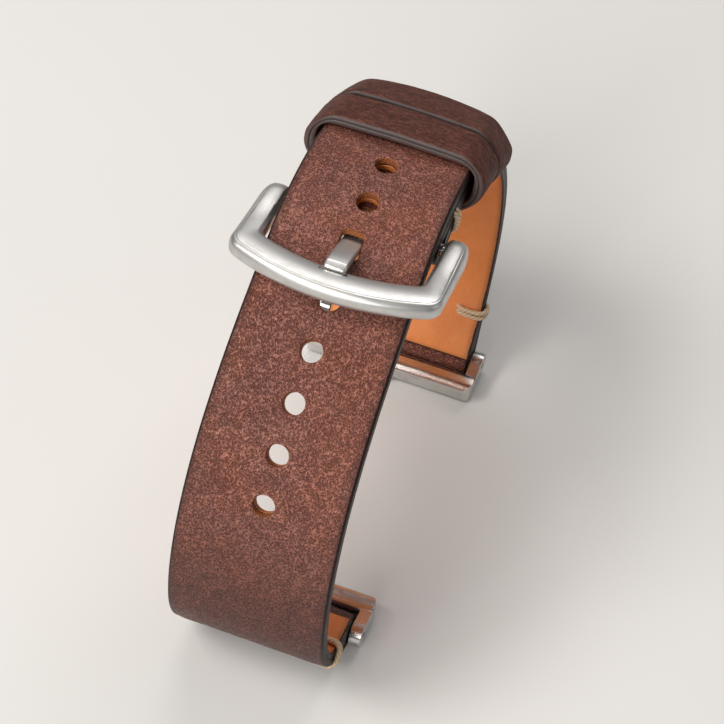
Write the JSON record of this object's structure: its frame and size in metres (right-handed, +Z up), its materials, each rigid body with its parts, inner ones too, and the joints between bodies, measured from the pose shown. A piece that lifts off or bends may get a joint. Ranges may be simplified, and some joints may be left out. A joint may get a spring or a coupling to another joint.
{
  "type": "watch strap",
  "caption": "Two-piece leather watch strap fastened in a loop by a bowed pin buckle, with a fixed and a sliding keeper and slide-in lug adapters on sprung pins.",
  "frame": {"origin": "centre of the bounding box's bottom, on the plane the two lug ends stand on", "axes": "+X across the strap to its right edge seen from the long strap, +Y from the long strap's lug end to the short strap's lug end, +Z up through the fastened buckle side"},
  "size_m": [0.0286, 0.0728, 0.0605],
  "materials": {
    "strap_leather": "reddish-brown full-grain leather, fine pebbled grain, darker edges",
    "lining": "smooth orange-tan lining leather",
    "keeper_leather": "smooth dark reddish-brown leather with grey-brown burnished edges",
    "buckle_steel": "satin brushed stainless steel",
    "adapter_steel": "satin stainless steel",
    "bar_steel": "turned stainless steel",
    "spring_steel": "bright spring wire",
    "thread": "cream waxed thread"
  },
  "bodies": {
    "strap_loop": {"long_strap_leather": "strap_leather", "long_strap_lining": "lining", "short_strap_leather": "strap_leather", "short_strap_lining": "lining", "fixed_keeper": "keeper_leather", "lower_stitch_left": "thread", "lower_stitch_right": "thread", "upper_stitch_left": "thread", "upper_stitch_right": "thread", "buckle_stitch_left": "thread", "buckle_stitch_right": "thread"},
    "buckle": {"buckle_frame": "buckle_steel", "buckle_bar_tube": "bar_steel", "buckle_bar_spring": "spring_steel"},
    "tongue": {"buckle_tongue": "buckle_steel"},
    "free_keeper": {"free_keeper": "keeper_leather"},
    "bar_tip_left": {"buckle_bar_tip_left": "bar_steel"},
    "bar_tip_right": {"buckle_bar_tip_right": "bar_steel"},
    "lower_adapter": {"lower_adapter": "adapter_steel", "lower_pin_tube": "bar_steel", "lower_pin_spring": "spring_steel", "lower_detent_spring": "spring_steel"},
    "lower_pin_tip_left": {"lower_pin_tip_left": "bar_steel"},
    "lower_pin_tip_right": {"lower_pin_tip_right": "bar_steel"},
    "lower_detent_button": {"lower_detent_button": "bar_steel"},
    "upper_adapter": {"upper_adapter": "adapter_steel", "upper_pin_tube": "bar_steel", "upper_pin_spring": "spring_steel", "upper_detent_spring": "spring_steel"},
    "upper_pin_tip_left": {"upper_pin_tip_left": "bar_steel"},
    "upper_pin_tip_right": {"upper_pin_tip_right": "bar_steel"},
    "upper_detent_button": {"upper_detent_button": "bar_steel"}
  },
  "joints": [
    {"name": "buckle_hinge", "type": "hinge", "parent": "strap_loop", "child": "buckle", "pos_m": [0, 0.00282, 0.05511], "axis": [-1, 0, 0], "range_deg": [0, 2]},
    {"name": "tongue_hinge", "type": "hinge", "parent": "buckle", "child": "tongue", "pos_m": [0, 0.00282, 0.05511], "axis": [-1, 0, 0], "range_deg": [0, 1]},
    {"name": "free_keeper_slide", "type": "hinge", "parent": "strap_loop", "child": "free_keeper", "pos_m": [0, 0.00496, 0.0261], "axis": [-1, 0, 0], "range_deg": [0, 14]},
    {"name": "bar_tip_left_slide", "type": "slide", "parent": "buckle", "child": "bar_tip_left", "axis": [1, 0, 0], "range_m": [0, 0.0012], "stiffness_N_per_m": 500, "springref_m": -0.001, "deforming": ["buckle_bar_spring"]},
    {"name": "bar_tip_right_slide", "type": "slide", "parent": "buckle", "child": "bar_tip_right", "axis": [-1, 0, 0], "range_m": [0, 0.0012], "stiffness_N_per_m": 500, "springref_m": -0.001, "deforming": ["buckle_bar_spring"]},
    {"name": "lower_adapter_hinge", "type": "hinge", "parent": "strap_loop", "child": "lower_adapter", "pos_m": [0, -0.02334, 0.00228], "axis": [-1, 0, 0], "range_deg": [-45, 50]},
    {"name": "lower_pin_tip_left_slide", "type": "slide", "parent": "lower_adapter", "child": "lower_pin_tip_left", "axis": [1, 0, 0], "range_m": [0, 0.0012], "stiffness_N_per_m": 500, "springref_m": -0.001, "deforming": ["lower_pin_spring"]},
    {"name": "lower_pin_tip_right_slide", "type": "slide", "parent": "lower_adapter", "child": "lower_pin_tip_right", "axis": [-1, 0, 0], "range_m": [0, 0.0012], "stiffness_N_per_m": 500, "springref_m": -0.001, "deforming": ["lower_pin_spring"]},
    {"name": "lower_detent_press", "type": "slide", "parent": "lower_adapter", "child": "lower_detent_button", "axis": [0, -1, 0], "range_m": [0, 0.0006], "stiffness_N_per_m": 500, "springref_m": -0.0006, "deforming": ["lower_detent_spring"]},
    {"name": "upper_adapter_hinge", "type": "hinge", "parent": "strap_loop", "child": "upper_adapter", "pos_m": [0, 0.02666, 0.00228], "axis": [1, 0, 0], "range_deg": [0, 60]},
    {"name": "upper_pin_tip_left_slide", "type": "slide", "parent": "upper_adapter", "child": "upper_pin_tip_left", "axis": [1, 0, 0], "range_m": [0, 0.0012], "stiffness_N_per_m": 500, "springref_m": -0.001, "deforming": ["upper_pin_spring"]},
    {"name": "upper_pin_tip_right_slide", "type": "slide", "parent": "upper_adapter", "child": "upper_pin_tip_right", "axis": [-1, 0, 0], "range_m": [0, 0.0012], "stiffness_N_per_m": 500, "springref_m": -0.001, "deforming": ["upper_pin_spring"]},
    {"name": "upper_detent_press", "type": "slide", "parent": "upper_adapter", "child": "upper_detent_button", "axis": [0, 1, 0], "range_m": [0, 0.0006], "stiffness_N_per_m": 500, "springref_m": -0.0006, "deforming": ["upper_detent_spring"]}
  ]
}
